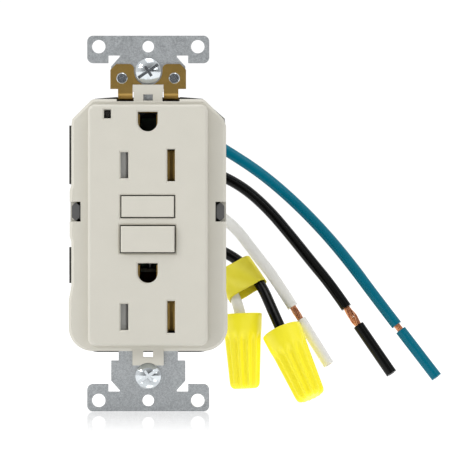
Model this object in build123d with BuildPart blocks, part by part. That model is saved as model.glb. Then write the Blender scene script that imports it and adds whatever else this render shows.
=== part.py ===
"""Ground-fault receptacle with pre-wired leads.

Millimetres. +Z is up, the front faces -Y, and the origin is the centre of the strap's back face, which is
the plane that meets the wall box.
"""

import os
from math import pi, radians, tan

from build123d import *

os.makedirs("parts", exist_ok=True)

# Strap and screws
STRAP_T = 1.2
STRAP_HALF_H = 51.4
EAR_HALF_W = 16.7
EAR_HOLE_X, EAR_HOLE_R = 13.55, 1.85
PLATE_HOLE_Z, PLATE_HOLE_R = 48.42, 1.6
BOX_SCREW_Z, BOX_SCREW_R, BOX_SCREW_LEN = 41.67, 1.75, 19.0
NECK_R, NECK_Y = 1.55, 1.7
SCORE_DEPTH, SCORE_W = 0.15, 0.24
BRASS_T = 0.8
LEG_Z, LEG_X, BEND_R = 33.65, (4.25, 8.25), 1.1
RIVET_X, RIVET_Z, RIVET_R = 7.15, 39.7, 0.93

# Casing, by depth along Y
FACE_Y, SKIRT_Y, COVER_BACK_Y, BODY_BACK_Y = -7.5, -4.0, 5.0, 28.5
WALL = 1.6
FACE_W, FACE_H, FACE_Z = 32.6, 65.6, -0.4
FACE_T = 1.8

# Openings in the face
SLOT_X, SLOT_Z = 6.35, (15.85, -25.4)
GROUND_Z, GROUND_R, GROUND_RISE = (27.75, -13.45), 2.7, 2.65
HOT_SLOT, NEUTRAL_SLOT = (2.1, 7.1), (2.1, 8.7)
TEST_Z, TEST_W, TEST_H = 4.6, 14.3, 5.7
RESET_Z, RESET_W, RESET_H = -4.25, 14.6, 7.1
BUTTON_GAP = 0.3
RIM = 0.4
LAMP_X, LAMP_Z, LAMP_W, LAMP_H = -10.95, 29.8, 1.9, 2.4
LATCH_Z, LATCH_H = 3.25, 5.4
CORNER_SCREWS = [(-17.4, 24.5), (17.4, 24.5), (-17.4, -26), (17.4, -26)]

# Contacts and mechanism
BUS_Y, GROUND_BAR_Y, FRAME_Y, BOARD_Y, BOARD_T = 11.0, 7.0, 12.0, 24.6, 1.6
CARRIER_Y, CARRIER_TRAVEL = 13.9, 1.5
COIL_Y = 20.0
SENSOR_Z = 14.0

# Leads: 14 AWG, stranded
LEAD_R, COPPER_R, LEAD_HOLE_R = 1.6, 0.93, 1.65
LEAD_START_Y = BOARD_Y + BOARD_T
COLLAR_Y = 30.0
ROUTES = {
    "lead_ground": [
        (-6.2, 26.2, 31.1), (-6.2, 37.2, 31.1), (-3.8, 48.0, 31.0), (2.4, 57.2, 30.2), (11.4, 61.8, 27.4),
        (21.4, 61.4, 21.4), (31.5, 58.6, 14.8), (41.0, 55.2, 6.6), (49.9, 52.2, -2.6), (57.3, 49.4, -11.6),
        (64.0, 46.9, -20.8), (70.4, 45.3, -29.2),
    ],
    "lead_line_black": [
        (-12, 26.2, 17), (-12, 37.6, 17), (-9.8, 48.8, 17.2), (-3.6, 58.6, 17.8), (5.8, 64.6, 18.0),
        (16.2, 66.0, 15.8), (25.8, 63.6, 11.2), (33.5, 59.8, 4.4), (40.2, 56.4, -3.6), (46.2, 53.4, -11.2),
        (51.8, 51.0, -18.0), (56.1, 49.6, -24.3),
    ],
    "lead_line_white": [
        (-12, 26.2, 6), (-12, 37.4, 6), (-10.3, 48.6, 7.4), (-4.4, 57.6, 8.6), (4.8, 63.3, 8.3),
        (15.0, 64.7, 5.4), (23.5, 61.6, -0.4), (29.4, 57.8, -8.2), (35.6, 56.1, -16.0), (40.7, 54.6, -24.2),
    ],
    "lead_load_black": [
        (-12, 26.2, -7), (-12, 38.0, -7), (-10.1, 50.0, -6.5), (-3.7, 60.0, -4.8), (6.3, 65.9, -4.2),
        (16.9, 67.1, -6.3), (26.1, 63.9, -11.3), (31.5, 58.7, -17.6), (34.8, 53.6, -25.2), (38.0, 49.4, -32.4),
        (40.9, 47.4, -38.9),
    ],
    "lead_load_white": [
        (-12, 26.2, -18), (-12, 36.8, -18), (-14.7, 47.9, -14.4), (-11.2, 58.8, -11.0), (-2.1, 66.4, -9.6),
        (9.8, 68.0, -11.0), (19.8, 63.0, -15.0), (24.2, 58.4, -21.6), (26.0, 55.8, -28.5), (26.3, 55.3, -35.4),
    ],
}
STRIP_GAP = {"ground": 1.9, "line_black": 6.2, "line_white": 4.4}
SLUG_LEN = {"ground": 17.0, "line_black": 17.0, "line_white": 15.5}
NUT_MOUTH_R, NUT_TIP_R, NUT_LEN, NUT_ENTRY = 5.9, 4.4, 21.8, 9.2
NUT_BAND, NUT_FLUTES = 6.0, 12
LABEL_W, LABEL_T = 9.6, 0.3


def at_depth(y):
    """The plane that faces the front at depth y, with X to the right and Z up."""
    return Plane.XZ.offset(-y)


def save(piece, name):
    piece.part.label = name
    export_step(piece.part, f"parts/{name}.step")


def block(x, y, z, mode=Mode.ADD):
    """A box between two values on each axis, in the current part."""
    with BuildSketch(at_depth(max(y))) as profile:
        with Locations(((x[0] + x[1]) / 2, (z[0] + z[1]) / 2)):
            Rectangle(abs(x[1] - x[0]), abs(z[1] - z[0]))
    extrude(profile.sketch, amount=abs(y[1] - y[0]), mode=mode)


def cut_block(x, y, z):
    block(x, y, z, Mode.SUBTRACT)


def post(x, z, r, y, mode=Mode.ADD):
    """A round bar along Y."""
    with BuildSketch(at_depth(max(y))) as profile:
        with Locations((x, z)):
            Circle(r)
    extrude(profile.sketch, amount=abs(y[1] - y[0]), mode=mode)


def coil_spring(plane, radius, wire_r, length, turns):
    """A round-wire spring that stands on a plane, and is length tall over its wire."""
    rise = length - 2 * wire_r
    with BuildPart() as spring:
        with BuildLine():
            path = Helix(rise / turns, rise, radius, center=(0, 0, wire_r))
        with BuildSketch(Plane(origin=path @ 0, z_dir=path % 0)):
            Circle(wire_r)
        sweep(is_frenet=True)
    spring.part = plane.location * spring.part
    return spring


def casing_outline(y, points, corner_r, inset=0.0):
    """A face at depth y whose two bottom corners have their own radius, drawn in by inset."""
    with BuildSketch(at_depth(y)) as outline:
        with BuildLine():
            Polyline(*points, close=True)
        make_face()
        fillet(outline.vertices().group_by(Axis.Y)[0], corner_r)
        fillet(outline.vertices().group_by(Axis.Y)[-1], 2.0)
        if inset:
            offset(amount=-inset, mode=Mode.REPLACE)
    return outline.sketch


# Front cover: skirt, raised face, tabs and every opening
COVER_OUTLINE = [
    (-15.2, 34.0), (15.2, 34.0), (20.7, 28.5), (21.3, 26.5), (21.3, -18.5), (21.7, -21.0), (21.7, -34.8),
    (-21.7, -34.8), (-21.7, -21.0), (-20.95, -17.0), (-20.95, -5.0), (-21.4, -3.5), (-21.4, 9.0),
    (-20.95, 10.5), (-20.95, 26.5), (-20.7, 28.5),
]
BODY_OUTLINE = [
    (-9.0, 34.85), (9.0, 34.85), (14.8, 34.4), (20.9, 28.9), (21.2, 26.5), (21.2, -35.4), (-21.2, -35.4),
    (-21.2, 26.5), (-20.9, 28.9), (-14.8, 34.4),
]


def face_openings():
    """Every opening of the raised face, in the current sketch."""
    for z in GROUND_Z:
        with Locations((0, z)):
            Circle(GROUND_R)
        with Locations((0, z + GROUND_RISE / 2)):
            Rectangle(2 * GROUND_R, GROUND_RISE)
    for z in SLOT_Z:
        with Locations((-SLOT_X, z)):
            Rectangle(*HOT_SLOT)
        with Locations((SLOT_X, z)):
            Rectangle(*NEUTRAL_SLOT)
    for z, w, h in ((TEST_Z, TEST_W, TEST_H), (RESET_Z, RESET_W, RESET_H)):
        with Locations((0, z)):
            Rectangle(w + 2 * BUTTON_GAP, h + 2 * BUTTON_GAP)
    with Locations((LAMP_X, LAMP_Z)):
        Rectangle(LAMP_W, LAMP_H)


with BuildPart() as front_cover:
    extrude(casing_outline(COVER_BACK_Y, COVER_OUTLINE, 6.5), amount=COVER_BACK_Y - SKIRT_Y)
    chamfer(front_cover.faces().sort_by(Axis.Y)[0].edges(), 0.7)
    with BuildSketch(at_depth(SKIRT_Y)):
        with Locations((0, FACE_Z)):
            RectangleRounded(FACE_W, FACE_H, 2.0)
    extrude(amount=SKIRT_Y - FACE_Y)
    fillet(front_cover.faces().sort_by(Axis.Y)[0].edges(), 0.9)
    # tabs over the strap
    block((-4.2, 4.2), (SKIRT_Y + 0.1, -2.1), (32.0, 37.9))
    block((-4.25, 4.25), (SKIRT_Y + 0.1, -1.35), (-38.7, -33.0))
    post(0, -BOX_SCREW_Z, 3.65, (0, SKIRT_Y), Mode.SUBTRACT)
    # hollow
    hollow = casing_outline(COVER_BACK_Y, COVER_OUTLINE, 6.5, WALL)
    extrude(hollow, amount=COVER_BACK_Y - SKIRT_Y - WALL, mode=Mode.SUBTRACT)
    cut_block((-14.7, 14.7), (COVER_BACK_Y, FACE_Y + FACE_T), (FACE_Z - 31.2, FACE_Z + 31.2))
    # the strap passes through both end walls
    for low, high in ((30.0, 45.0), (-45.0, -30.0)):
        cut_block((-10.7, 10.7), (-1.3, COVER_BACK_Y), (low, high))
    # notches under the ground strap's two legs
    for side in (-1, 1):
        cut_block((side * 3.9, side * 8.6), (-1.3, SKIRT_Y - 0.1), (LEG_Z - 0.3, 36))
    # windows in the tabs, and for the side latches
    cut_block((-1.3, 1.3), (SKIRT_Y, 0), (33.55, 35.25))
    cut_block((-1.35, 1.35), (SKIRT_Y, 0), (-36.5, -34.8))
    for side in (-1, 1):
        cut_block((side * 18.4, side * 22.5), (SKIRT_Y - 0.2, 1.4), (LATCH_Z - LATCH_H / 2, LATCH_Z + LATCH_H / 2))
    with BuildSketch(at_depth(FACE_Y + FACE_T)):
        face_openings()
    extrude(amount=FACE_T, mode=Mode.SUBTRACT)
    # a bevelled rim round each opening
    front = front_cover.faces().sort_by(Axis.Y)[0]
    chamfer([e for wire in front.inner_wires() for e in wire.edges()], RIM)
    # collars that guide the two buttons
    for z, w, h in ((TEST_Z, TEST_W, TEST_H), (RESET_Z, RESET_W, RESET_H)):
        with BuildSketch(at_depth(-3.2)):
            with Locations((0, z)):
                Rectangle(w + 1.8, h + 1.8)
                Rectangle(w + 2 * BUTTON_GAP, h + 2 * BUTTON_GAP, mode=Mode.SUBTRACT)
        extrude(amount=-3.2 - FACE_Y - FACE_T)
    # spring seats beside the shutters, and the bosses for the assembly screws
    for z in SLOT_Z:
        block((-13.4, -12.5), (-3.4, FACE_Y + FACE_T), (z - 1.4, z + 1.4))
    for x, z in CORNER_SCREWS:
        post(x, z, 1.9, (FRAME_Y - 0.05, SKIRT_Y + 0.8))
        post(x, z, 1.25, (FRAME_Y, -0.5), Mode.SUBTRACT)
save(front_cover, "front_cover")

# Rear body: a tub that closes against the cover, with a lip inside it
with BuildPart() as rear_body:
    extrude(casing_outline(BODY_BACK_Y, BODY_OUTLINE, 7.5), amount=BODY_BACK_Y - COVER_BACK_Y - 0.1)
    chamfer(rear_body.faces().sort_by(Axis.Y)[-1].edges(), 1.2)
    # side ribs that stand proud beside the cover's left edge
    for low, high in ((10.9, 27.0), (-16.4, -6.5)):
        block((-21.9, -20.5), (24.0, COVER_BACK_Y + 0.1), (low, high))
    inside = casing_outline(BODY_BACK_Y - WALL, BODY_OUTLINE, 7.5, WALL)
    extrude(inside, amount=BODY_BACK_Y, mode=Mode.SUBTRACT)
    # tongues behind the strap's two necks close the cover's end notches
    block((-10.2, 10.2), (7.0, 0.15), (32.5, 33.8))
    block((-10.2, 10.2), (7.0, 0.15), (-34.6, -33.3))
    # notches for the ground strap's two legs
    for side in (-1, 1):
        cut_block((side * 3.9, side * 8.6), (0, GROUND_BAR_Y + BRASS_T + 0.3), (LEG_Z - 0.3, 36))
        cut_block((side * 3.9, side * 8.6), (GROUND_BAR_Y - 0.3, GROUND_BAR_Y + BRASS_T + 0.3), (30, 36))
    # posts for the assembly screws, and collars for the leads
    for x, z in CORNER_SCREWS:
        post(x, z, 2.6, (BODY_BACK_Y - 0.2, FRAME_Y + 1.35))
        post(x, z, 1.45, (BODY_BACK_Y, FRAME_Y), Mode.SUBTRACT)
        post(x, z, 2.5, (BODY_BACK_Y, BODY_BACK_Y - 1.8), Mode.SUBTRACT)
    for route in ROUTES.values():
        x, z = route[0][0], route[0][2]
        post(x, z, 2.6, (COLLAR_Y, BODY_BACK_Y - WALL))
        post(x, z, LEAD_HOLE_R, (COLLAR_Y, BODY_BACK_Y - 2 * WALL), Mode.SUBTRACT)
save(rear_body, "rear_body")

# Inner frame: partition, button platform and the two side latches
with BuildPart() as inner_frame:
    block((-19.0, 19.0), (FRAME_Y + 1.2, FRAME_Y), (-30.5, 27.0))
    block((-12.9, 12.9), (FRAME_Y + 1.2, FRAME_Y), (26.5, 32.0))
    for x, z in CORNER_SCREWS:
        post(x, z, 1.5, (FRAME_Y + 1.2, FRAME_Y), Mode.SUBTRACT)
    # window for the moving contacts, wells for the ground pins, way for the light pipe and the ground tail
    cut_block((-14.6, 14.6), (FRAME_Y, FRAME_Y + 1.2), (-9.4, 1.0))
    for z in GROUND_Z:
        post(0, z, 3.0, (FRAME_Y, FRAME_Y + 1.2), Mode.SUBTRACT)
    cut_block((LAMP_X - 0.8, LAMP_X + 0.8), (FRAME_Y, FRAME_Y + 1.2), (LAMP_Z - 1.0, LAMP_Z + 1.0))
    cut_block((-8.0, -4.4), (FRAME_Y, FRAME_Y + 1.2), (30.4, 32.2))
    cut_block((-10.8, -9.9), (FRAME_Y, FRAME_Y + 1.2), (3.6, 5.6))
    # platform under the buttons, on two side walls
    block((-9.6, 9.6), (1.3, 0.3), (-8.6, 8.2))
    for z in (-8.6, 7.2):
        block((-4.3, 4.3), (GROUND_BAR_Y - 0.4, 1.3), (z, z + 1.0))
    for side in (-1, 1):
        block((side * 10.5, side * 9.6), (FRAME_Y, 0.3), (-12.0, -9.0))
        block((side * 10.5, side * 9.5), (1.3, 0.3), (-12.0, 3.0))
    post(0, TEST_Z, 1.2, (0, 2), Mode.SUBTRACT)
    post(0, RESET_Z, 1.3, (0, 2), Mode.SUBTRACT)
    # side latches: an arm and an eight-sided hook head in the cover's window
    for side in (-1, 1):
        block((side * 17.9, side * 18.9), (FRAME_Y, -2.2), (LATCH_Z - 2.0, LATCH_Z + 2.0))
        with BuildSketch(at_depth(0.6)):
            with Locations((side * 19.75, LATCH_Z)):
                head = Rectangle(2.1, 4.7)
            chamfer(head.vertices(), 0.8)
        extrude(amount=4.0)
save(inner_frame, "inner_frame")


# Mounting strap
def strap_end(up):
    """One end of the strap in the current sketch: ears, neck and shoulders. up is 1 or -1."""
    half = [
        (0, STRAP_HALF_H), (EAR_HALF_W, STRAP_HALF_H), (EAR_HALF_W, 43.9), (10.9, 43.9), (10.9, 46.0),
        (7.8, 46.0), (7.8, 45.6), (10.15, 43.0), (10.15, 37.5), (0, 37.5),
    ]
    outline = half + [(-x, z) for x, z in half[-2:0:-1]]
    with BuildLine() as edge:
        Polyline(*[(x, up * z) for x, z in outline], close=True)
    make_face(edge.edges())


with BuildPart() as mounting_strap:
    with BuildSketch(at_depth(0)) as strap_face:
        for up in (1, -1):
            strap_end(up)
        ears = [v for v in strap_face.vertices() if abs(v.Y) > 43.5 and abs(v.X) > 10.5]
        fillet([v for v in ears if abs(v.X) > 16], 1.6)
        fillet([v for v in ears if abs(v.X) < 16], 1.0)
        with GridLocations(2 * EAR_HOLE_X, 2 * PLATE_HOLE_Z, 2, 2):
            Circle(EAR_HOLE_R, mode=Mode.SUBTRACT)
        with GridLocations(1, 2 * PLATE_HOLE_Z, 1, 2):
            Circle(PLATE_HOLE_R, mode=Mode.SUBTRACT)
        with GridLocations(1, 2 * BOX_SCREW_Z, 1, 2):
            Circle(BOX_SCREW_R + 0.07, mode=Mode.SUBTRACT)
        with Locations((-RIVET_X, RIVET_Z), (RIVET_X, RIVET_Z)):
            Circle(RIVET_R + 0.02, mode=Mode.SUBTRACT)
        # frame inside the casing, its top tongue and its bottom prongs
        with Locations((0, 0.2)):
            rails = Rectangle(30.8, 64.0)
            chamfer(rails.vertices(), 2.5)
            Rectangle(26.4, 61.2, mode=Mode.SUBTRACT)
        with Locations((0, 34.5)):
            Rectangle(7.8, 7.0)
        for side in (-1, 1):
            with Locations((side * 6.05, -34.5)):
                Rectangle(4.1, 7.0)
    extrude(amount=STRAP_T)
    # score lines where the ears snap off
    with BuildSketch(at_depth(SCORE_DEPTH - STRAP_T)) as scores:
        for side in (-1, 1):
            for up in (-1, 1):
                with BuildLine() as score:
                    Line((side * 5.9, up * STRAP_HALF_H), (side * 9.0, up * 46.0))
                trace(score.edges(), SCORE_W)
    extrude(scores.sketch, amount=1, mode=Mode.SUBTRACT)
save(mounting_strap, "mounting_strap")

# Brass ground strap: plate on the strap, two legs, bar with two pin windows, jaws and a tail for the lead
with BuildPart() as ground_strap:
    with BuildSketch(at_depth(-STRAP_T)) as brass_face:
        with Locations((0, 40.2)):
            Rectangle(20.7, 6.8)
        chamfer([v for v in brass_face.vertices() if v.Y > 42], 1.6)
        for side in (-1, 1):
            with Locations((side * (LEG_X[0] + LEG_X[1]) / 2, LEG_Z)):
                Rectangle(LEG_X[1] - LEG_X[0], 4.3, align=(Align.CENTER, Align.MIN))
        with Locations((0, BOX_SCREW_Z)):
            Circle(3.9, mode=Mode.SUBTRACT)
            Rectangle(4.0, 7.8, mode=Mode.SUBTRACT, align=(Align.CENTER, Align.MIN))
        fillet([v for v in brass_face.vertices() if v.Y > 43 and abs(v.X) < 4], 1.4)
        for side in (-1, 1):
            with Locations((side * RIVET_X, RIVET_Z)):
                Circle(RIVET_R + 0.02, mode=Mode.SUBTRACT)
    extrude(amount=BRASS_T)
    for side in (-1, 1):
        leg = (side * LEG_X[0], side * LEG_X[1])
        block(leg, (GROUND_BAR_Y + BRASS_T, -STRAP_T - BRASS_T), (LEG_Z, LEG_Z + BRASS_T))
        block(leg, (GROUND_BAR_Y + BRASS_T, GROUND_BAR_Y), (31.2, LEG_Z + BRASS_T))
    # the legs bend round under the plate
    for y, z, r in ((-STRAP_T - BRASS_T, LEG_Z, BEND_R + BRASS_T), (-STRAP_T, LEG_Z + BRASS_T, BEND_R)):
        across = ground_strap.edges().filter_by(Axis.X)
        fillet([e for e in across if abs(e.center().Y - y) < 0.05 and abs(e.center().Z - z) < 0.05], r)
    block((-8.25, 8.25), (GROUND_BAR_Y + BRASS_T, GROUND_BAR_Y), (30.7, 32.3))
    block((-3.7, 3.7), (GROUND_BAR_Y + BRASS_T, GROUND_BAR_Y), (-17.0, 32.3))
    for z in GROUND_Z:
        cut_block((-2.9, 2.9), (GROUND_BAR_Y, GROUND_BAR_Y + BRASS_T), (z - 2.8, z + 2.9))
    post(0, RESET_Z, 2.0, (GROUND_BAR_Y, GROUND_BAR_Y + BRASS_T), Mode.SUBTRACT)
    for z in GROUND_Z:
        for side in (-1, 1):
            block((side * 2.3, side * 2.95), (GROUND_BAR_Y + BRASS_T, -2.6), (z - 2.1, z + 2.1))
    block((-7.8, -4.6), (LEAD_START_Y, GROUND_BAR_Y), (30.7, 31.5))
save(ground_strap, "ground_strap")

with BuildPart() as strap_rivets:
    for side in (-1, 1):
        post(side * RIVET_X, RIVET_Z, RIVET_R, (0, -2.0))
        post(side * RIVET_X, RIVET_Z, 1.5, (-2.0, -2.45))
        post(side * RIVET_X, RIVET_Z, 1.3, (0.5, 0))
    heads = strap_rivets.faces().filter_by(Axis.Y).group_by(Axis.Y)[0]
    chamfer(heads.edges(), 0.2)
    # star stake
    with BuildSketch(at_depth(-2.25)) as stake:
        with Locations((-RIVET_X, RIVET_Z), (RIVET_X, RIVET_Z)):
            for turn in (30, 90, 150):
                Rectangle(2.0, 0.3, rotation=turn)
    extrude(stake.sketch, amount=1, mode=Mode.SUBTRACT)
save(strap_rivets, "strap_rivets")


def box_screw(z):
    """A captive 6-32 screw with an oval head, a slot and a cross recess."""
    head_y, head_rise = -STRAP_T, 2.1
    if z > 0:
        head_y -= 0.05
    with BuildPart() as screw:
        with BuildSketch(Plane.YZ):
            with BuildLine():
                Polyline((head_y, z), (BOX_SCREW_LEN, z), (BOX_SCREW_LEN, z + 1.2), (BOX_SCREW_LEN - 1, z + BOX_SCREW_R),
                         (NECK_Y, z + BOX_SCREW_R), (NECK_Y, z + NECK_R), (head_y, z + NECK_R),
                         (head_y, z + 3.5), (head_y - 0.7, z + 3.5))
                ThreePointArc((head_y - 0.7, z + 3.5), (head_y - 1.75, z + 1.8), (head_y - head_rise, z))
                Line((head_y - head_rise, z), (head_y, z))
            make_face()
        revolve(axis=Axis((0, 0, z), (0, 1, 0)))
        with BuildSketch(at_depth(head_y - 0.9)):
            with Locations((0, z)):
                Rectangle(7.4, 0.9, rotation=34)
                Rectangle(3.4, 0.8, rotation=124)
        extrude(amount=2, mode=Mode.SUBTRACT)
    return screw


save(box_screw(BOX_SCREW_Z), "box_screw_top")
save(box_screw(-BOX_SCREW_Z), "box_screw_bottom")

# Fibre squares that keep the box screws in the strap
with BuildPart() as screw_retainers:
    for z in (BOX_SCREW_Z, -BOX_SCREW_Z):
        block((-4.0, 4.0), (1.0, 0.3), (z - 4.0, z + 4.0))
        post(0, z, BOX_SCREW_R + 0.06, (0.3, 1.0), Mode.SUBTRACT)
save(screw_retainers, "screw_retainers")

with BuildPart() as assembly_screws:
    for x, z in CORNER_SCREWS:
        post(x, z, 1.2, (BODY_BACK_Y - 1.8, 0))
        post(x, z, 2.3, (BODY_BACK_Y - 0.3, BODY_BACK_Y - 1.8))
        with BuildSketch(at_depth(BODY_BACK_Y - 1.2)):
            with Locations((x, z)):
                Rectangle(2.8, 0.7)
                Rectangle(0.7, 2.8)
        extrude(amount=-2, mode=Mode.SUBTRACT)
save(assembly_screws, "assembly_screws")

# Buttons, their springs, and the test contact
with BuildPart() as test_button:
    block((-TEST_W / 2, TEST_W / 2), (-4.6, FACE_Y - 0.15), (TEST_Z - TEST_H / 2, TEST_Z + TEST_H / 2))
    fillet(test_button.faces().sort_by(Axis.Y)[0].edges(), 0.35)
    post(0, TEST_Z, 1.1, (0.05, -4.6))
save(test_button, "test_button")

with BuildPart() as reset_button:
    block((-RESET_W / 2, RESET_W / 2), (-4.4, FACE_Y - 1.4), (RESET_Z - RESET_H / 2, RESET_Z + RESET_H / 2))
    fillet(reset_button.faces().sort_by(Axis.Y)[0].edges(), 0.45)
    post(0, RESET_Z, 1.15, (-4.4, -6.4), Mode.SUBTRACT)
save(reset_button, "reset_button")

with BuildPart() as reset_pin:
    with BuildSketch(Plane.YZ):
        with BuildLine():
            Polyline((-6.4, RESET_Z), (17.6, RESET_Z), (17.6, RESET_Z + 0.5), (16.8, RESET_Z + 1.1), (16.5, RESET_Z + 1.1),
                     (16.5, RESET_Z + 0.7), (15.5, RESET_Z + 0.7), (15.5, RESET_Z + 1.1), (-6.4, RESET_Z + 1.1), close=True)
        make_face()
    revolve(axis=Axis((0, 0, RESET_Z), (0, 1, 0)))
save(reset_pin, "reset_pin")

save(coil_spring(Plane((0, 0.28, TEST_Z), z_dir=(0, -1, 0)), 1.8, 0.2, 4.8, 5), "test_spring")
save(coil_spring(Plane((0, 0.28, RESET_Z), z_dir=(0, -1, 0)), 2.2, 0.25, 4.6, 4), "reset_spring")

with BuildPart() as test_contact:
    block((-10.5, 1.3), (1.9, 1.5), (TEST_Z - 0.6, TEST_Z + 0.6))
    block((-10.5, -10.1), (BOARD_Y, 1.5), (TEST_Z - 0.6, TEST_Z + 0.6))
save(test_contact, "test_contact")

# Indicator: a light pipe from the face to a lamp on the board
with BuildPart() as indicator_lens:
    block((LAMP_X - 0.6, LAMP_X + 0.6), (22.0, FACE_Y + 0.9), (LAMP_Z - 0.8, LAMP_Z + 0.8))
save(indicator_lens, "indicator_lens")

with BuildPart() as indicator_lamp:
    block((LAMP_X - 1.2, LAMP_X + 1.2), (BOARD_Y, 22.1), (LAMP_Z - 1.8, LAMP_Z + 1.2))
    fillet(indicator_lamp.faces().sort_by(Axis.Y)[0].edges(), 0.5)
save(indicator_lamp, "indicator_lamp")

# Shutters behind the hot slots, with their trays and springs
for z, where in zip(SLOT_Z, ("upper", "lower")):
    with BuildPart() as shutter:
        block((-7.9, -4.9), (-3.6, -5.45), (z - 4.0, z + 4.0))
        chamfer(shutter.faces().sort_by(Axis.Y)[0].edges().filter_by(Axis.Z).sort_by(Axis.X)[-1], 1.2)
    save(shutter, f"shutter_{where}")
    seat = Plane((-12.5, -4.5, z), z_dir=(1, 0, 0))
    save(coil_spring(seat, 0.75, 0.14, 4.55, 7), f"shutter_spring_{where}")

with BuildPart() as shutter_trays:
    for z in SLOT_Z:
        block((-13.4, -3.4), (-2.7, -3.4), (z - 5.6, z + 5.6))
        cut_block((-7.9, -4.8), (-2.7, -3.4), (z - 4.7, z + 4.7))
save(shutter_trays, "shutter_trays")


def bus(side):
    """A bus strip with a two-leaf blade jaw at each outlet, on one side of the middle."""
    with BuildPart() as strip:
        block((side * 4.9, side * 9.5), (BUS_Y + BRASS_T, BUS_Y), (SLOT_Z[1] - 4.4, SLOT_Z[0] + 4.4))
        for z in SLOT_Z:
            for near, far, pinch in ((4.9, 5.5, 0.35), (7.2, 7.8, -0.35)):
                block((side * near, side * far), (BUS_Y, -2.2), (z - 4.2, z + 4.2))
                edge = far if pinch > 0 else near
                block((side * edge, side * (edge + pinch)), (2.5, -0.5), (z - 3.6, z + 3.6))
    return strip


save(bus(-1), "hot_contact")
save(bus(1), "neutral_contact")

# Fixed contacts of the line and load sides, mirrored left and right
with BuildPart() as line_terminals:
    for side in (-1, 1):
        block((side * 10.6, side * 14.2), (BUS_Y + BRASS_T, BUS_Y), (-4.0, -0.4))
        block((side * 13.4, side * 14.2), (15.0, BUS_Y), (-4.0, -0.4))
        block((side * 13.4, side * 14.2), (15.0, 14.2), (-4.0, SENSOR_Z + 1.0))
        block((side * 0.7, side * 14.2), (15.0, 14.2), (SENSOR_Z - 1.0, SENSOR_Z + 1.0))
        post(side * 1.6, SENSOR_Z, 0.9, (BOARD_Y, 14.6))
save(line_terminals, "line_terminals")

with BuildPart() as load_terminals:
    for side in (-1, 1):
        block((side * 10.6, side * 14.2), (BUS_Y + BRASS_T, BUS_Y), (-8.4, -5.0))
        block((side * 13.4, side * 14.2), (BOARD_Y, BUS_Y), (-8.4, -5.0))
save(load_terminals, "load_terminals")

# Contact carrier with the two bridges that close line, load and face contacts together
with BuildPart() as contact_carrier:
    block((-4.6, 4.6), (CARRIER_Y + 3.6, CARRIER_Y), (-8.6, 0.2))
    for side in (-1, 1):
        block((side * 4.6, side * 12.6), (CARRIER_Y + 2.4, CARRIER_Y + 0.65), (-8.4, 0.0))
    post(0, RESET_Z, 1.3, (CARRIER_Y, CARRIER_Y + 3.6), Mode.SUBTRACT)
    # neck and lug that the latch spring pushes against
    block((-1.4, 1.4), (CARRIER_Y + 3.6, CARRIER_Y + 1.1), (0.2, 4.4))
    block((-1.4, 1.4), (CARRIER_Y + 5.9, CARRIER_Y + 3.6), (3.7, 4.4))
save(contact_carrier, "contact_carrier")

with BuildPart() as contact_bridges:
    for side in (-1, 1):
        block((side * 5.2, side * 12.8), (CARRIER_Y + 0.6, CARRIER_Y), (-8.3, -0.1))
        for x, z in ((7.2, -4.2), (11.8, -2.2), (11.8, -6.7)):
            post(side * x, z, 1.0, (CARRIER_Y, CARRIER_Y - 0.5))
save(contact_bridges, "contact_bridges")

# Latch plate behind the carrier, and its spring
with BuildPart() as latch_plate:
    block((-3.2, 3.2), (CARRIER_Y + 4.5, CARRIER_Y + 3.7), (-10.0, 1.0))
    block((-2.0, 2.0), (CARRIER_Y + 8.4, CARRIER_Y + 3.7), (-10.8, -10.0))
    with BuildSketch(at_depth(CARRIER_Y + 5)):
        with Locations((0, RESET_Z - 0.7)):
            SlotCenterToCenter(1.5, 2.6, rotation=90)
    extrude(amount=2, mode=Mode.SUBTRACT)
save(latch_plate, "latch_plate")
save(coil_spring(Plane((0, CARRIER_Y + 4.9, 1.05), z_dir=(0, 0, 1)), 0.8, 0.15, 2.6, 4), "latch_spring")

# Solenoid that trips the latch
with BuildPart() as solenoid_bobbin:
    with BuildSketch(Plane.XY.offset(-27.5)):
        with Locations((0, COIL_Y)):
            Circle(2.2)
    extrude(amount=15)
    for z in (-27.5, -13.5):
        with BuildSketch(Plane.XY.offset(z)):
            with Locations((0, COIL_Y)):
                Circle(4.4)
        extrude(amount=1)
    with BuildSketch(Plane.XY.offset(-28)):
        with Locations((0, COIL_Y)):
            Circle(1.6)
    extrude(amount=16, mode=Mode.SUBTRACT)
save(solenoid_bobbin, "solenoid_bobbin")

with BuildPart() as solenoid_coil:
    with BuildSketch(Plane.XY.offset(-26.45)):
        with Locations((0, COIL_Y)):
            Circle(4.1)
            Circle(2.25, mode=Mode.SUBTRACT)
    extrude(amount=12.9)
save(solenoid_coil, "solenoid_coil")

with BuildPart() as solenoid_plunger:
    for low, high, r in ((-24.0, -14.2, 1.53), (-14.2, -10.85, 0.9)):
        with BuildSketch(Plane.XY.offset(low)):
            with Locations((0, COIL_Y)):
                Circle(r)
        extrude(amount=high - low)
save(solenoid_plunger, "solenoid_plunger")
save(coil_spring(Plane((0, COIL_Y, -27.4), z_dir=(0, 0, 1)), 1.2, 0.15, 3.3, 5), "plunger_spring")

# Circuit board and what it carries
with BuildPart() as circuit_board:
    block((-14.6, 14.6), (LEAD_START_Y, BOARD_Y), (-30.0, 29.6))
save(circuit_board, "circuit_board")


def toroid(y, name):
    with BuildPart() as ring:
        post(0, SENSOR_Z, 8.2, (y + 3.4, y))
        fillet(ring.edges(), 0.8)
        post(0, SENSOR_Z, 4.2, (y + 3.4, y), Mode.SUBTRACT)
    save(ring, name)


toroid(16.2, "sense_transformer")
toroid(20.2, "neutral_transformer")

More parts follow.
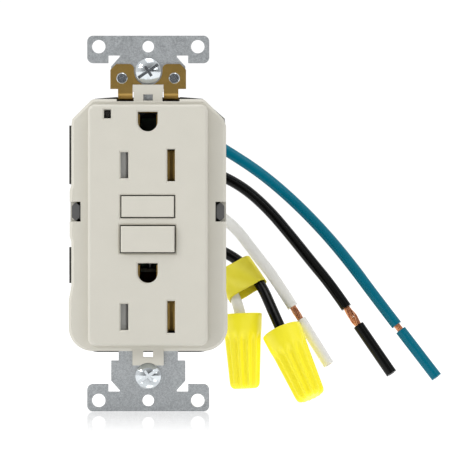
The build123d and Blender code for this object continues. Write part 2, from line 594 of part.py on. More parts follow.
with BuildPart() as transformer_boat:
    post(0, SENSOR_Z, 9.2, (BOARD_Y - 0.1, 15.8))
    post(0, SENSOR_Z, 8.4, (23.8, 15.8), Mode.SUBTRACT)
    post(0, SENSOR_Z, 4.0, (BOARD_Y - 0.1, 15.8))
    post(0, SENSOR_Z, 3.1, (BOARD_Y, 15.0), Mode.SUBTRACT)
save(transformer_boat, "transformer_boat")

with BuildPart() as control_chip:
    block((6.6, 11.6), (BOARD_Y - 0.1, BOARD_Y - 1.6), (-23.0, -19.0))
    for step in range(4):
        x = 7.2 + 1.27 * step
        block((x - 0.2, x + 0.2), (BOARD_Y, BOARD_Y - 0.9), (-24.0, -18.0))
save(control_chip, "control_chip")

with BuildPart() as filter_capacitor:
    with BuildSketch(Plane.XY.offset(20.2)):
        with Locations((11.6, 21.2)):
            Circle(3.1)
    extrude(amount=8.4)
    fillet(filter_capacitor.edges(), 0.5)
save(filter_capacitor, "filter_capacitor")

with BuildPart() as surge_varistor:
    post(-9.6, -19.5, 4.2, (BOARD_Y - 1.0, BOARD_Y - 4.6))
    fillet(surge_varistor.edges(), 1.0)
    for x in (-11.6, -7.6):
        post(x, -19.5, 0.4, (BOARD_Y, BOARD_Y - 2.0))
save(surge_varistor, "surge_varistor")

with BuildPart() as board_resistors:
    for x, z in ((9.0, -12.0), (12.6, -12.0), (-9.0, -12.5), (-12.6, -12.5)):
        with BuildSketch(Plane.XY.offset(z - 2.6)):
            with Locations((x, BOARD_Y - 1.2)):
                Circle(1.1)
        extrude(amount=5.2)
save(board_resistors, "board_resistors")


# Leads
def corner_radii(points):
    """The largest arc that each corner's two runs allow."""
    route = [Vector(*p) for p in points]
    radii = []
    for before, here, after in zip(route, route[1:], route[2:]):
        run_in, run_out = here - before, after - here
        half_turn = radians(run_in.get_angle(run_out)) / 2
        radii.append(0.45 * min(run_in.length, run_out.length) / tan(half_turn))
    return radii


def lead(name, points):
    radii = corner_radii(points)
    with BuildPart() as tube:
        with BuildLine():
            path = FilletPolyline(*points, radius=radii)
        with BuildSketch(Plane(origin=path @ 0, z_dir=path % 0)):
            Circle(LEAD_R)
        sweep()
    length = path.length
    ratio = tube.part.volume / (pi * LEAD_R**2 * length)
    print(f"{name}: {length:.1f} mm, smallest radius {min(radii):.1f} mm, volume ratio {ratio:.4f}")
    save(tube, name)


for name, points in ROUTES.items():
    lead(name, points)


def end_plane(name):
    """The plane at a lead's far end, with its normal along the wire and away from it."""
    last, end = ROUTES[name][-2], ROUTES[name][-1]
    return Plane(origin=end, z_dir=Vector(*end) - Vector(*last))


for wire in ("ground", "line_black", "line_white"):
    cut_end = end_plane(f"lead_{wire}")
    gap, slug_len = STRIP_GAP[wire], SLUG_LEN[wire]
    with BuildPart() as conductor:
        with BuildSketch(cut_end):
            Circle(COPPER_R)
        extrude(amount=gap + slug_len - 1.0)
    save(conductor, f"conductor_{wire}")
    with BuildPart() as slug:
        with BuildSketch(cut_end.offset(gap)):
            Circle(LEAD_R)
            Circle(COPPER_R + 0.05, mode=Mode.SUBTRACT)
        extrude(amount=slug_len)
    save(slug, f"insulation_slug_{wire}")


# Wire nuts on the two load leads
def wire_nut(name, centre, axis):
    """A fluted, closed-ended cap whose mouth is centred at centre. axis points from mouth to tip."""
    mouth = Plane(origin=centre, z_dir=axis)
    with BuildPart() as groove:
        for height, r in ((NUT_BAND, 0.35), (NUT_LEN + 0.5, 1.0)):
            outside = NUT_MOUTH_R + (NUT_TIP_R - NUT_MOUTH_R) * height / NUT_LEN
            with BuildSketch(Plane.XY.offset(height)):
                with Locations((outside + 0.3, 0)):
                    Circle(r)
        loft()
    with BuildPart() as shell:
        with BuildSketch(Plane.XZ):
            Polygon((0, 0), (NUT_MOUTH_R, 0), (NUT_TIP_R, NUT_LEN), (0, NUT_LEN), align=None)
        revolve(axis=Axis.Z)
        fillet(shell.faces().sort_by(Axis.Z)[-1].edges(), 1.0)
        with PolarLocations(0, NUT_FLUTES):
            add(groove.part, mode=Mode.SUBTRACT)
        with BuildSketch(Plane.XZ):
            Polygon((0, 0), (NUT_MOUTH_R - 0.9, 0), (NUT_TIP_R - 1.5, NUT_LEN - 1.8), (0, NUT_LEN - 1.8), align=None)
        revolve(axis=Axis.Z, mode=Mode.SUBTRACT)
    shell.part = mouth.location * shell.part
    save(shell, name)
    save(coil_spring(mouth.offset(NUT_ENTRY + 1.0), 2.4, 0.3, 9.6, 9), f"{name}_spring")


black_end, white_end = Vector(*ROUTES["lead_load_black"][-1]), Vector(*ROUTES["lead_load_white"][-1])
NUT_AXIS_RIGHT = end_plane("lead_load_black").z_dir
NUT_AXIS_LEFT = end_plane("lead_load_white").z_dir
wire_nut("wire_nut_right", black_end - NUT_AXIS_RIGHT * NUT_ENTRY, NUT_AXIS_RIGHT)
wire_nut("wire_nut_left", white_end - NUT_AXIS_LEFT * NUT_ENTRY, NUT_AXIS_LEFT)

# Label tape round both load leads
LABEL_BLACK, LABEL_WHITE = Vector(28.8, 61.3, -14.4), Vector(22.0, 60.7, -18.3)
LABEL_ALONG = Vector(0.49, -0.50, -0.72)
LABEL_INSIDE = LEAD_R + 0.45
with BuildPart() as lead_label:
    span = LABEL_WHITE - LABEL_BLACK
    flat = Plane(LABEL_BLACK, x_dir=span, z_dir=LABEL_ALONG).offset(-LABEL_W / 2)
    with BuildSketch(flat):
        with Locations((span.length / 2, 0)):
            SlotCenterToCenter(span.length, 2 * (LABEL_INSIDE + LABEL_T))
            SlotCenterToCenter(span.length, 2 * LABEL_INSIDE, mode=Mode.SUBTRACT)
    extrude(amount=LABEL_W)
save(lead_label, "lead_label")
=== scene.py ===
import random
from math import cos, pi, radians, sin

import bmesh
import bpy
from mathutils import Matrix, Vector


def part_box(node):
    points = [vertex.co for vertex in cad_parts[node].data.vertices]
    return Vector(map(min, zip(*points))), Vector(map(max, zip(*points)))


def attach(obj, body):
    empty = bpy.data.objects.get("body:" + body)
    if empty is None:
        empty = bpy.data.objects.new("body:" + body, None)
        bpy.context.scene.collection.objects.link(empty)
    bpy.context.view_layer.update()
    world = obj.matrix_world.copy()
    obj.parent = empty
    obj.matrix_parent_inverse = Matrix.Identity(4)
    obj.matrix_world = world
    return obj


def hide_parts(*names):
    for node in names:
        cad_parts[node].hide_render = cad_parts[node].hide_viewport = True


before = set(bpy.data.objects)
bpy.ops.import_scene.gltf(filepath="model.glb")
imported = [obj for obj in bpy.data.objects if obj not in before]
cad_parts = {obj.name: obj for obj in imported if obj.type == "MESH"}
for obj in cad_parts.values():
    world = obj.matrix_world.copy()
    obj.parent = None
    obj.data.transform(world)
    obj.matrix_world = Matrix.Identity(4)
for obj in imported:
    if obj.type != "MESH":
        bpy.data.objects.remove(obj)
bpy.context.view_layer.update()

MM = 0.001
rng = random.Random(20)


# Shader sums
class Value:
    """A shader value that can be used in ordinary arithmetic."""

    def __init__(self, finish, socket):
        self.finish, self.socket = finish, socket

    def sum(self, operation, *values):
        return self.finish.node("Math", {"operation": operation}, dict(enumerate(values)))

    def __add__(self, other):
        return self.sum("ADD", self, other)

    def __rsub__(self, other):
        return self.sum("SUBTRACT", other, self)

    def __mul__(self, other):
        return self.sum("MULTIPLY", self, other)

    def above(self, edge, softness):
        """0 below edge and 1 above it, with a soft step between."""
        return self.finish.node("MapRange", {"interpolation_type": "SMOOTHSTEP"},
                                {"Value": self, "From Min": edge - softness,
                                 "From Max": edge + softness})


class Finish:
    """A material and the nodes that make it."""

    def __init__(self, name):
        self.material = bpy.data.materials.new(name)
        self.material.use_nodes = True
        self.tree = self.material.node_tree
        self.tree.nodes.clear()

    def node(self, kind, settings=None, inputs=None, output=0):
        made = self.tree.nodes.new("ShaderNode" + kind)
        for key, value in (settings or {}).items():
            setattr(made, key, value)
        for key, value in (inputs or {}).items():
            if isinstance(value, Value):
                self.tree.links.new(value.socket, made.inputs[key])
            else:
                made.inputs[key].default_value = value
        return Value(self, made.outputs[output])

    def place(self, scale=(1, 1, 1)):
        """Object coordinates in millimetres, stretched by scale."""
        where = self.node("TexCoord", output="Object")
        return self.node("VectorMath", {"operation": "MULTIPLY"}, {0: where, 1: [1000 * s for s in scale]})

    def noise(self, scale, detail=3, stretch=(1, 1, 1), roughness=0.5):
        """Soft grain, scale per millimetre."""
        return self.node("TexNoise", None, {"Vector": self.place(stretch), "Scale": scale, "Detail": detail,
                                            "Roughness": roughness})

    def cells(self, scale, output="Distance"):
        """Crystal cells, scale per millimetre."""
        return self.node("TexVoronoi", None, {"Vector": self.place(), "Scale": scale}, output)

    def blend(self, share, first, second):
        """A colour between two, by share."""
        return self.node("Mix", {"data_type": "RGBA"},
                         {0: share, 6: (*first, 1) if isinstance(first, tuple) else first,
                          7: (*second, 1) if isinstance(second, tuple) else second}, 2)

    def bump(self, height, strength, depth):
        """A normal raised by height, depth in millimetres."""
        return self.node("Bump", None, {"Height": height, "Strength": strength, "Distance": depth * MM})

    def surface(self, **inputs):
        """Ends the finish with one principled surface. Names use _ where the socket has a space."""
        sockets = {key.replace("_", " "): value for key, value in inputs.items()}
        shader = self.node("BsdfPrincipled", None, sockets)
        self.close(shader)
        return self.material

    def close(self, shader):
        output = self.tree.nodes.new("ShaderNodeOutputMaterial")
        self.tree.links.new(shader.socket, output.inputs["Surface"])


def srgb(r, g, b):
    """Linear colour from 0-255 screen values."""
    return tuple(((c / 255 + 0.055) / 1.055) ** 2.4 if c > 10 else c / 255 / 12.92 for c in (r, g, b))


def moulded(name, colour, roughness=0.42, grain=0.12, mottle=0.03, coat=0.0, painted_glow=0.0):
    """Moulded plastic: faint flow marks, a fine spark-eroded grain and an optional painted glow, which is
    emitted light painted on a part that is no lamp.
    """
    f = Finish(name)
    flow = f.noise(0.16, 3)
    shade = tuple(c * (1 - mottle) for c in colour), tuple(min(1, c * (1 + mottle)) for c in colour)
    grains = f.noise(5.0, 2)
    return f.surface(Base_Color=f.blend(flow, *shade), Roughness=grains * 0.1 + (roughness - 0.05),
                     Normal=f.bump(grains, grain, 0.03), Coat_Weight=coat, Emission_Color=(*colour, 1),
                     Emission_Strength=painted_glow)


def galvanised():
    f = Finish("galvanised_sheet")
    spangle = f.node("SeparateColor", None, {"Color": f.cells(1.5, output="Color")})
    fleck = f.node("SeparateColor", None, {"Color": f.cells(4.0, output="Color")})
    rolled = f.noise(3.4, 6, (0.7, 1, 1.4), 0.75)
    tone = spangle * 0.12 + fleck * 0.45 + rolled * 0.6
    colour = f.blend(tone.above(0.58, 0.4), srgb(168, 172, 175), srgb(204, 208, 210))
    return f.surface(Base_Color=colour, Metallic=1.0, Roughness=spangle * 0.1 + rolled * 0.2 + 0.26,
                     Normal=f.bump(fleck * 0.4 + rolled, 0.3, 0.04))


def rolled_brass():
    f = Finish("rolled_brass")
    rolled = f.noise(1.1, 6, (3.5, 1, 0.5), 0.7)
    stain = f.noise(0.22, 4)
    colour = f.blend(stain.above(0.5, 0.3), srgb(166, 136, 74), srgb(186, 154, 90))
    return f.surface(Base_Color=f.blend(rolled * 0.5, colour, srgb(176, 142, 78)), Metallic=1.0,
                     Roughness=rolled * 0.22 + 0.2, Normal=f.bump(rolled, 0.2, 0.04))


def plated(name, colour, low=0.16, spread=0.2, scale=0.9):
    """A plated, drawn or machined metal with rubbed marks."""
    f = Finish(name)
    marks = f.noise(scale, 5, roughness=0.65)
    dark = tuple(c * 0.8 for c in colour)
    return f.surface(Base_Color=f.blend(marks, dark, colour), Metallic=1.0, Roughness=marks * spread + low,
                     Normal=f.bump(marks, 0.25, 0.05))


def bare_copper():
    f = Finish("bare_copper")
    tarnish = f.noise(0.9, 4)
    drawn = f.noise(6.0, 2)
    return f.surface(Base_Color=f.blend(tarnish.above(0.52, 0.2), srgb(236, 176, 136), srgb(200, 128, 88)),
                     Metallic=1.0, Roughness=drawn * 0.2 + 0.2, Normal=f.bump(drawn, 0.2, 0.02))


def jacket(name, colour, edge, roughness=0.3, gloss=0.3):
    """Extruded nylon over vinyl: long faint ripples, a clear glossy skin and a little dust."""
    f = Finish(name)
    ripple = f.noise(0.35, 3)
    dust = f.noise(2.2, 4)
    return f.surface(Base_Color=f.blend(ripple * 0.7 + dust * 0.3, colour, edge),
                     Roughness=dust * 0.16 + (roughness - 0.08), Specular_IOR_Level=gloss,
                     Normal=f.bump(ripple * 0.7 + dust * 0.3, 0.3, 0.12))


def pressed_fibre():
    f = Finish("pressed_fibre")
    fibres = f.noise(2.6, 6, (0.3, 1, 1.6), 0.7)
    return f.surface(Base_Color=f.blend(fibres, srgb(116, 86, 60), srgb(160, 126, 92)), Roughness=0.86,
                     Normal=f.bump(fibres, 0.5, 0.08))


def laminate():
    f = Finish("board_laminate")
    weave = f.node("TexWave", {"wave_type": "BANDS", "bands_direction": "X"},
                   {"Vector": f.place(), "Scale": 1.1, "Distortion": 0.4})
    weft = f.node("TexWave", {"wave_type": "BANDS", "bands_direction": "Z"},
                  {"Vector": f.place(), "Scale": 1.1, "Distortion": 0.4})
    return f.surface(Base_Color=f.blend(weave * weft, srgb(28, 84, 46), srgb(58, 122, 66)), Roughness=0.34,
                     Normal=f.bump(weave + weft, 0.15, 0.03))


def sintered():
    f = Finish("sintered_ferrite")
    pores = f.cells(5.5)
    return f.surface(Base_Color=f.blend(pores, srgb(46, 46, 50), srgb(92, 92, 98)), Roughness=0.62,
                     Normal=f.bump(pores, 0.5, 0.05))


def label_tape():
    f = Finish("label_tape")
    creases = f.noise(0.35, 4)
    fibres = f.noise(3.5, 3)
    return f.surface(Base_Color=f.blend(creases, srgb(240, 226, 40), srgb(252, 240, 66)),
                     Roughness=fibres * 0.2 + 0.34, Normal=f.bump(creases + fibres * 0.2, 0.4, 0.12))


def clear_pipe():
    f = Finish("clear_light_pipe")
    haze = f.noise(1.4, 3)
    # Painted shade: the clear pipe's dark brown base colour stands in for the dark inside of the lamp window
    # seen through it; the haze noise only varies that dark tone a little.
    return f.surface(Base_Color=f.blend(haze, srgb(34, 30, 27), srgb(52, 46, 40)), Roughness=haze * 0.2 + 0.12,
                     Transmission_Weight=0.55, Normal=f.bump(haze, 0.1, 0.02))


def wound_wire():
    f = Finish("wound_magnet_wire")
    turns = f.node("TexWave", {"wave_type": "BANDS", "bands_direction": "Z"},
                   {"Vector": f.place(), "Scale": 1.6, "Distortion": 0.3})
    return f.surface(Base_Color=f.blend(turns, srgb(92, 40, 20), srgb(196, 106, 58)), Metallic=0.6,
                     Roughness=0.3, Normal=f.bump(turns, 0.7, 0.12))


ALMOND = srgb(205, 202, 191)
finishes = {
    "almond": moulded("almond_nylon", ALMOND, 0.34),
    "button": moulded("almond_button", srgb(206, 203, 192), 0.32),
    "black": moulded("black_nylon", srgb(34, 33, 31), 0.5, 0.3, 0.1),
    "grey": moulded("grey_nylon", srgb(174, 174, 172), 0.5, 0.2, 0.05),
    "dark_grey": moulded("dark_grey_nylon", srgb(84, 84, 84), 0.5, 0.2, 0.05),
    "natural": moulded("natural_nylon", srgb(206, 200, 184), 0.46, 0.2),
    "epoxy": moulded("black_epoxy", srgb(28, 28, 30), 0.36, 0.3, 0.1),
    "blue_dip": moulded("blue_dip", srgb(32, 82, 158), 0.28, 0.3, 0.08, 0.4),
    # Painted light: the yellow cap glows faintly though it is no lamp, to brighten it where the casing shades
    # it.
    "yellow_cap": moulded("yellow_cap", srgb(252, 240, 44), 0.36, 0.16, 0.02, painted_glow=0.14),
    "galvanised": galvanised(),
    "brass": rolled_brass(),
    "zinc": plated("bright_zinc", srgb(222, 228, 232), 0.07, 0.12),
    "drawn_steel": plated("drawn_spring_steel", srgb(176, 178, 180), 0.22),
    "machined_steel": plated("turned_steel", srgb(196, 198, 200), 0.2, 0.24, 1.6),
    "copper": bare_copper(),
    "winding": wound_wire(),
    "fibre": pressed_fibre(),
    "laminate": laminate(),
    "ferrite": sintered(),
    "light_pipe": clear_pipe(),
    "tape": label_tape(),
    "teal": jacket("teal_jacket", srgb(1, 100, 122), srgb(2, 112, 134), 0.22, 0.16),
    "black_jacket": jacket("black_jacket", srgb(5, 5, 4), srgb(10, 10, 9), 0.22, 0.2),
    "white_jacket": jacket("white_jacket", srgb(236, 235, 229), srgb(246, 245, 239), 0.36),
}
node_finish = {
    "almond": ["front_cover"],
    "button": ["test_button", "reset_button"],
    "black": ["rear_body", "reset_pin", "transformer_boat"],
    "grey": ["shutter_upper", "shutter_lower"],
    "fibre": ["screw_retainers"],
    "dark_grey": ["inner_frame"],
    "natural": ["shutter_trays", "contact_carrier", "solenoid_bobbin"],
    "epoxy": ["control_chip", "filter_capacitor"],
    "blue_dip": ["surge_varistor", "board_resistors"],
    "galvanised": ["mounting_strap"],
    "brass": ["ground_strap", "hot_contact", "neutral_contact", "line_terminals", "load_terminals",
              "contact_bridges", "test_contact"],
    "zinc": ["strap_rivets", "assembly_screws"],
    "drawn_steel": ["test_spring", "reset_spring", "shutter_spring_upper", "shutter_spring_lower",
                    "latch_spring", "plunger_spring", "wire_nut_left_spring", "wire_nut_right_spring"],
    "machined_steel": ["latch_plate", "solenoid_plunger"],
    "winding": ["solenoid_coil"],
    "laminate": ["circuit_board"],
    "ferrite": ["sense_transformer", "neutral_transformer"],
    "light_pipe": ["indicator_lens"],
    "copper": ["indicator_lamp"],
    "teal": ["insulation_slug_ground"],
    "black_jacket": ["insulation_slug_line_black"],
    "white_jacket": ["insulation_slug_line_white"],
}
for finish, names in node_finish.items():
    for name in names:
        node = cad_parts[name]
        node.data.materials.clear()
        node.data.materials.append(finishes[finish])


# Camera
camera = bpy.data.objects.new("camera", bpy.data.cameras.new("camera"))
bpy.context.scene.collection.objects.link(camera)
camera.location = Vector((21.0, -900.0, -0.4)) * MM
camera.rotation_euler = (radians(90), 0, 0)
camera.data.sensor_width = 36.0
camera.data.lens = 262.8
bpy.context.scene.camera = camera


# Leads
ROUTES = {
    "lead_ground": [
        (-6.2, 26.2, 31.1), (-6.2, 37.2, 31.1), (-3.8, 48.0, 31.0), (2.4, 57.2, 30.2), (11.4, 61.8, 27.4),
        (21.4, 61.4, 21.4), (31.5, 58.6, 14.8), (41.0, 55.2, 6.6), (49.9, 52.2, -2.6), (57.3, 49.4, -11.6),
        (64.0, 46.9, -20.8), (70.4, 45.3, -29.2),
    ],
    "lead_line_black": [
        (-12, 26.2, 17), (-12, 37.6, 17), (-9.8, 48.8, 17.2), (-3.6, 58.6, 17.8), (5.8, 64.6, 18.0),
        (16.2, 66.0, 15.8), (25.8, 63.6, 11.2), (33.5, 59.8, 4.4), (40.2, 56.4, -3.6), (46.2, 53.4, -11.2),
        (51.8, 51.0, -18.0), (56.1, 49.6, -24.3),
    ],
    "lead_line_white": [
        (-12, 26.2, 6), (-12, 37.4, 6), (-10.3, 48.6, 7.4), (-4.4, 57.6, 8.6), (4.8, 63.3, 8.3),
        (15.0, 64.7, 5.4), (23.5, 61.6, -0.4), (29.4, 57.8, -8.2), (35.6, 56.1, -16.0), (40.7, 54.6, -24.2),
    ],
    "lead_load_black": [
        (-12, 26.2, -7), (-12, 38.0, -7), (-10.1, 50.0, -6.5), (-3.7, 60.0, -4.8), (6.3, 65.9, -4.2),
        (16.9, 67.1, -6.3), (26.1, 63.9, -11.3), (31.5, 58.7, -17.6), (34.8, 53.6, -25.2),
        (38.0, 49.4, -32.4), (40.9, 47.4, -38.9),
    ],
    "lead_load_white": [
        (-12, 26.2, -18), (-12, 36.8, -18), (-14.7, 47.9, -14.4), (-11.2, 58.8, -11.0), (-2.1, 66.4, -9.6),
        (9.8, 68.0, -11.0), (19.8, 63.0, -15.0), (24.2, 58.4, -21.6), (26.0, 55.8, -28.5),
        (26.3, 55.3, -35.4),
    ],
}
LEAD_R, COLLAR_Y = 1.6, 30.0


def show(mesh, name, body, finish, smooth=True):
    """Puts a finished mesh into the scene as a piece that rides on body."""
    piece = bpy.data.objects.new(name, mesh)
    bpy.context.scene.collection.objects.link(piece)
    mesh.materials.append(finishes[finish])
    for polygon in mesh.polygons:
        polygon.use_smooth = smooth
    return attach(piece, body)


def rings_mesh(name, rings, closed_ends=True, looped=False):
    """A skin over rings of points, in millimetres."""
    count = len(rings[0])
    points = [Vector(p) * MM for ring in rings for p in ring]
    faces = []
    for r in range(len(rings) if looped else len(rings) - 1):
        a, b = r * count, (r + 1) % len(rings) * count
        faces += [(a + i, a + (i + 1) % count, b + (i + 1) % count, b + i) for i in range(count)]
    if closed_ends and not looped:
        faces += [tuple(range(count))[::-1], tuple(range((len(rings) - 1) * count, len(rings) * count))]
    mesh = bpy.data.meshes.new(name)
    mesh.from_pydata(points, [], faces)
    body = bmesh.new()
    body.from_mesh(mesh)
    bmesh.ops.recalc_face_normals(body, faces=body.faces)
    body.to_mesh(mesh)
    body.free()
    return mesh


def end_frame(name):
    """A place at a lead's far end: its own x and y across the wire, and z along it."""
    last, end = Vector(ROUTES[name][-2]), Vector(ROUTES[name][-1])
    return end, (end - last).to_track_quat("Z", "Y").to_matrix()


leads = {}
for name, route in ROUTES.items():
    line = bpy.data.curves.new(name + "_cord", "CURVE")
    line.dimensions = "3D"
    spline = line.splines.new("NURBS")
    spline.points.add(len(route) - 1)
    for point, place in zip(spline.points, route):
        point.co = (*(Vector(place) * MM), 1)
    spline.order_u = 3
    spline.use_endpoint_u = True
    spline.resolution_u = 16
    line.bevel_depth = LEAD_R * MM
    line.bevel_resolution = 8
    line.use_fill_caps = True
    leads[name] = bpy.data.objects.new(name + "_cord", line)
    bpy.context.scene.collection.objects.link(leads[name])
    line.materials.append(finishes["teal" if "ground" in name else name.split("_")[-1] + "_jacket"])
    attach(leads[name], "casing")
    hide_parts(name)


def circle(r, along, count, turned=0.0):
    """Places round a ring of radius r, along a wire's own z."""
    angles = (turned + 2 * pi * k / count for k in range(count))
    return [Vector((r * cos(a), r * sin(a), along)) for a in angles]


# Bare strands between each stripped end and its slug: gap, slug length and how far the strands flare
STRIP = {"ground": (1.9, 17.0, 0.0), "line_black": (6.2, 17.0, 0.42), "line_white": (4.4, 15.5, 0.16)}
STRAND_R, STRAND_RING, LAY = 0.19, 0.74, 26.0
STRAND_START, STRAND_STEPS = -1.2, 32
for wire, (gap, slug, flare) in STRIP.items():
    end, turn = end_frame("lead_" + wire)
    strands = bmesh.new()
    for ring, count in ((STRAND_RING, 12), (STRAND_RING / 2, 6), (0.0, 1)):
        for k in range(count):
            wobble = rng.uniform(-0.06, 0.06)
            rings = []
            for step in range(STRAND_STEPS + 1):
                along = STRAND_START + (gap + slug + 0.2) * step / STRAND_STEPS
                open_out = flare * max(0.0, sin(pi * min(max(along / gap, 0), 1))) if ring else 0
                r = ring + open_out * (0.6 + 0.4 * sin(2.4 * k)) + (wobble * 0.5 if 0 < along < gap else 0)
                a = 2 * pi * (k / count + along / LAY) + wobble
                centre = Vector((r * cos(a), r * sin(a), along))
                rings.append([end + turn @ (centre + rim) for rim in circle(STRAND_R, 0, 8)])
            strands.from_mesh(rings_mesh("strand", rings))
    mesh = bpy.data.meshes.new("strands_" + wire)
    strands.to_mesh(mesh)
    strands.free()
    piece = show(mesh, "strands_" + wire, "casing", "copper")
    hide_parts("conductor_" + wire)


# Twist-on caps
CAP_LENGTH, CAP_MOUTH_R, CAP_TIP_R, CAP_ENTRY = 21.8, 5.88, 4.38, 9.2
FLUTES, FLUTE_START, FLUTE_RUN_IN, FLUTE_DEPTH, CAP_AROUND = 12, 4.9, 3.4, 0.98, 144


def cap(side, lead):
    """A fluted cap over the end of a lead, hollow from its mouth."""
    end, turn = end_frame(lead)
    # places along the cap, with how far the edge there is drawn in
    stations = [(0.0, -0.35), (0.12, -0.1), (0.4, 0.0), (2.2, 0), (4.2, 0)]
    stations += [(4.8 + 0.55 * k, 0) for k in range(28)]
    stations += [(20.3, -0.02), (20.8, -0.12), (21.2, -0.32), (21.5, -0.62), (21.7, -1.0), (21.78, -1.5),
                 (21.8, -2.4), (21.8, -3.4)]
    rings = []
    for along, inset in stations:
        wall = CAP_MOUTH_R + (CAP_TIP_R - CAP_MOUTH_R) * along / CAP_LENGTH + inset
        sink = min(max((along - FLUTE_START) / FLUTE_RUN_IN, 0), 1)
        fade = 1 if inset > -1 else max(0, (3.4 + inset) / 2.4)
        sink = FLUTE_DEPTH * sink * sink * (3 - 2 * sink) * fade
        ring = []
        for j in range(CAP_AROUND):
            a = 2 * pi * j / CAP_AROUND
            r = wall - sink * (0.5 + 0.5 * cos(FLUTES * a)) ** 1.1
            ring.append(end + turn @ Vector((r * cos(a), r * sin(a), along - CAP_ENTRY)))
        rings.append(ring)
    bore = ((20.0, 0.4), (20.0, 2.8), (19.0, 2.95), (9.0, 3.9), (1.4, 4.86), (0.3, 4.96), (0.0, 5.12))
    inside = [[end + turn @ place for place in circle(r, along - CAP_ENTRY, CAP_AROUND)] for along, r in bore]
    piece = show(rings_mesh(f"cap_{side}", inside + rings), f"cap_{side}", f"wire_nut_{side}", "yellow_cap")
    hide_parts(f"wire_nut_{side}")
    return piece


caps = {"right": cap("right", "lead_load_black"), "left": cap("left", "lead_load_white")}


# Folded tape flag round both load leads
LABEL_BLACK, LABEL_WHITE = Vector((28.8, 61.3, -14.4)), Vector((22.0, 60.7, -18.3))
LABEL_ALONG = Vector((0.49, -0.50, -0.72))
LABEL_WIDTH, LABEL_R, LABEL_HALF_T, LABEL_BOW = 9.6, 2.2, 0.07, 0.12
LABEL_STEPS, LABEL_BEND = 16, 12


def tape_flag():
    """A strip of tape wrapped once round both leads, a little bowed between them."""
    along = LABEL_ALONG.normalized()
    across = LABEL_WHITE - LABEL_BLACK
    reach = across.length
    across.normalize()
    up = along.cross(across).normalized()
    # a stadium: a half turn round each lead and a straight run between them
    half_turn = [pi * k / LABEL_BEND for k in range(LABEL_BEND + 1)]
    straight = [reach * k / LABEL_BEND for k in range(1, LABEL_BEND)]
    outline = [(LABEL_R * cos(pi / 2 + a), LABEL_R * sin(pi / 2 + a)) for a in half_turn]
    outline += [(x, -LABEL_R) for x in straight]
    outline += [(reach + LABEL_R * cos(a - pi / 2), LABEL_R * sin(a - pi / 2)) for a in half_turn]
    outline += [(reach - x, LABEL_R) for x in straight]
    skins = []
    for layer in (-LABEL_HALF_T, LABEL_HALF_T):
        grow = 1 + layer / LABEL_R
        skin = []
        for step in range(LABEL_STEPS + 1):
            s = step / LABEL_STEPS - 0.5
            ring = []
            for x, y in outline:
                bow = LABEL_BOW * sin(6.0 * s + x * 0.9) * (1 if 0 < x < reach else 0.2)
                rise = y * grow + (bow if y > 0 else -bow)
                if x < 0:
                    x = x * grow
                elif x > reach:
                    x = reach + (x - reach) * grow
                ring.append(LABEL_BLACK + across * x + up * rise + along * (LABEL_WIDTH * s))
            skin.append(ring)
        skins.append(skin)
    rings = skins[0] + skins[1][::-1]
    piece = show(rings_mesh("tape_flag", rings, looped=True), "tape_flag", "casing", "tape")
    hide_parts("lead_label")
    return piece


flag = tape_flag()


# Box screws with their threads: 6-32, from under the head to the tip
PITCH, CREST_R, ROOT_R, NECK_R, TIP_R = 0.794, 1.74, 1.36, 1.55, 0.95
HEAD_CUT_Y, NECK_START_Y, THREAD_Y, THREAD_END_Y, TAPER_Y, SCREW_END_Y = -0.9, -1.1, 1.75, 17.9, 18.7, 19.0
THREAD_STEPS, SHANK_AROUND = 20, 24


def threaded(name):
    """The screw's own head, with a rolled thread in place of the plain shank."""
    low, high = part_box(name)
    x, z = (low.x + high.x) / 2, (low.z + high.z) / 2
    screw = bmesh.new()
    screw.from_mesh(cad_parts[name].data)
    bmesh.ops.bisect_plane(screw, geom=screw.verts[:] + screw.edges[:] + screw.faces[:],
                           plane_co=(0, HEAD_CUT_Y * MM, 0), plane_no=(0, 1, 0), clear_outer=True)

    def corner(r, angle, at):
        return screw.verts.new((x + r * cos(angle) * MM, at * MM, z + r * sin(angle) * MM))

    # one ridge that winds from the neck to the tip and runs out at both ends
    profile = ((0, ROOT_R), (0.18, ROOT_R), (0.42, CREST_R), (0.58, CREST_R), (0.82, ROOT_R), (1, ROOT_R))
    last = int((THREAD_END_Y - THREAD_Y) / PITCH) * THREAD_STEPS
    rows = []
    for k in range(last + 1):
        a = 2 * pi * k / THREAD_STEPS
        at = THREAD_Y + PITCH * k / THREAD_STEPS
        fade = min(1, k / THREAD_STEPS, (last - k) / THREAD_STEPS)
        rows.append([corner(ROOT_R + (r - ROOT_R) * fade, a, at + part * PITCH) for part, r in profile])
    for first, second in zip(rows, rows[1:]):
        for k in range(len(profile) - 1):
            screw.faces.new((first[k], first[k + 1], second[k + 1], second[k]))
    # neck, core and tip
    core = []
    for at, r in ((NECK_START_Y, NECK_R), (THREAD_Y, NECK_R), (THREAD_Y + 0.1, ROOT_R),
                  (THREAD_END_Y - 0.6, ROOT_R), (TAPER_Y, ROOT_R), (SCREW_END_Y, TIP_R)):
        core.append([corner(r, 2 * pi * j / SHANK_AROUND, at) for j in range(SHANK_AROUND)])
    for first, second in zip(core, core[1:]):
        for j in range(SHANK_AROUND):
            beside = (j + 1) % SHANK_AROUND
            screw.faces.new((first[j], first[beside], second[beside], second[j]))
    screw.faces.new(core[-1])
    bmesh.ops.recalc_face_normals(screw, faces=screw.faces)
    mesh = bpy.data.meshes.new(name + "_threaded")
    screw.to_mesh(mesh)
    screw.free()
    piece = show(mesh, name + "_threaded", name, "zinc", smooth=False)
    for polygon in mesh.polygons:
        polygon.use_smooth = polygon.center.y > HEAD_CUT_Y * MM
    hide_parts(name)


threaded("box_screw_top")
threaded("box_screw_bottom")


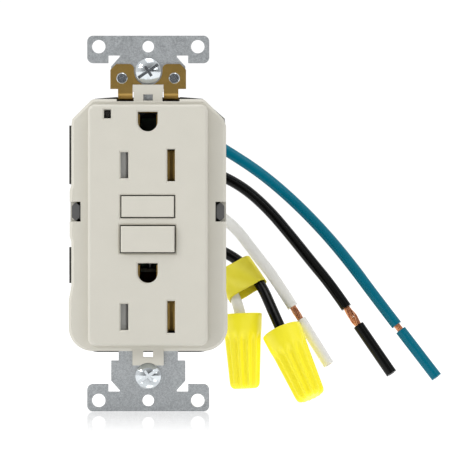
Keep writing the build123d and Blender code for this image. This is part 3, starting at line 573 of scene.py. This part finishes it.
# Studio: a white floor that mirrors only what stands close, three softboxes and a room that is dark in front
FLOOR_HALF, FLOOR_Z = 2.5, -0.0515
MIRROR, MIRROR_HALF_W, MIRROR_FADE = 0.5, 19, (90, 105)
SOFTBOXES = {
    "key": ((-1.0, -0.7, 0.75), 0.3, 6.3),
    "fill": ((0.85, -0.8, 0.5), 0.5, 1.5),
    "top": ((0.1, -0.25, 1.1), 0.6, 2.8),
}
AWAY_FROM_DARK = (-0.3, 0.92, 0.24)
ROOM_STOPS = ((0.06, (0.13, 0.13, 0.135, 1)), (0.42, (1, 1, 1, 1)))
ROOM_LIGHT, BACKDROP_LIGHT = 0.85, 1.05


def studio_floor():
    mesh = bpy.data.meshes.new("studio_floor")
    corners = [(x * FLOOR_HALF, y * FLOOR_HALF, 0) for x, y in ((-1, -1), (1, -1), (1, 1), (-1, 1))]
    mesh.from_pydata(corners, [], [(0, 1, 2, 3)])
    floor = bpy.data.objects.new("studio_floor", mesh)
    floor.location.z = FLOOR_Z
    bpy.context.scene.collection.objects.link(floor)
    f = Finish("studio_floor")
    pale = f.node("BsdfDiffuse", None, {"Color": (0.22, 0.22, 0.22, 1)})
    lit = f.node("Emission", None, {"Color": (1, 1, 1, 1), "Strength": 1.02})
    gloss = f.node("BsdfGlossy", None, {"Color": (1, 1, 1, 1), "Roughness": 0.04})
    where = f.place()
    aside = f.node("Math", {"operation": "ABSOLUTE"}, {0: f.node("SeparateXYZ", None, {"Vector": where})})
    forward = f.node("SeparateXYZ", None, {"Vector": where}, 1) * -1.0
    near = (1 - aside.above(MIRROR_HALF_W, 2)) * (1 - forward.above(*MIRROR_FADE)) * forward.above(-4, 4)
    white = f.node("AddShader", None, {0: pale, 1: lit})
    f.close(f.node("MixShader", None, {0: near * MIRROR, 1: white, 2: gloss}))
    mesh.materials.append(f.material)


def softbox(name, place, size, power):
    lamp = bpy.data.lights.new(name, "AREA")
    lamp.shape, lamp.size, lamp.energy = "SQUARE", size, power
    box = bpy.data.objects.new(name, lamp)
    box.location = place
    box.rotation_euler = (-Vector(place)).to_track_quat("-Z", "Y").to_euler()
    bpy.context.scene.collection.objects.link(box)


def room():
    """Light from every side but the front, behind a plain white backdrop."""
    world = bpy.data.worlds.new("studio")
    world.use_nodes = True
    bpy.context.scene.world = world
    nodes, links = world.node_tree.nodes, world.node_tree.links
    nodes.clear()
    where = nodes.new("ShaderNodeTexCoord")
    facing = nodes.new("ShaderNodeVectorMath")
    facing.operation = "DOT_PRODUCT"
    facing.inputs[1].default_value = AWAY_FROM_DARK
    half = nodes.new("ShaderNodeMath")
    half.operation = "MULTIPLY_ADD"
    half.inputs[1].default_value = half.inputs[2].default_value = 0.5
    ramp = nodes.new("ShaderNodeValToRGB")
    for stop, (position, colour) in zip(ramp.color_ramp.elements, ROOM_STOPS):
        stop.position, stop.color = position, colour
    light = nodes.new("ShaderNodeBackground")
    light.inputs["Strength"].default_value = ROOM_LIGHT
    backdrop = nodes.new("ShaderNodeBackground")
    backdrop.inputs["Color"].default_value = (1, 1, 1, 1)
    backdrop.inputs["Strength"].default_value = BACKDROP_LIGHT
    path = nodes.new("ShaderNodeLightPath")
    mix = nodes.new("ShaderNodeMixShader")
    output = nodes.new("ShaderNodeOutputWorld")
    links.new(where.outputs["Generated"], facing.inputs[0])
    links.new(facing.outputs["Value"], half.inputs[0])
    links.new(half.outputs[0], ramp.inputs[0])
    links.new(ramp.outputs[0], light.inputs["Color"])
    links.new(path.outputs["Is Camera Ray"], mix.inputs[0])
    links.new(light.outputs[0], mix.inputs[1])
    links.new(backdrop.outputs[0], mix.inputs[2])
    links.new(mix.outputs[0], output.inputs[0])


studio_floor()
for name, (place, size, power) in SOFTBOXES.items():
    softbox(name, place, size, power)
room()
bpy.context.scene.view_settings.view_transform = "Standard"
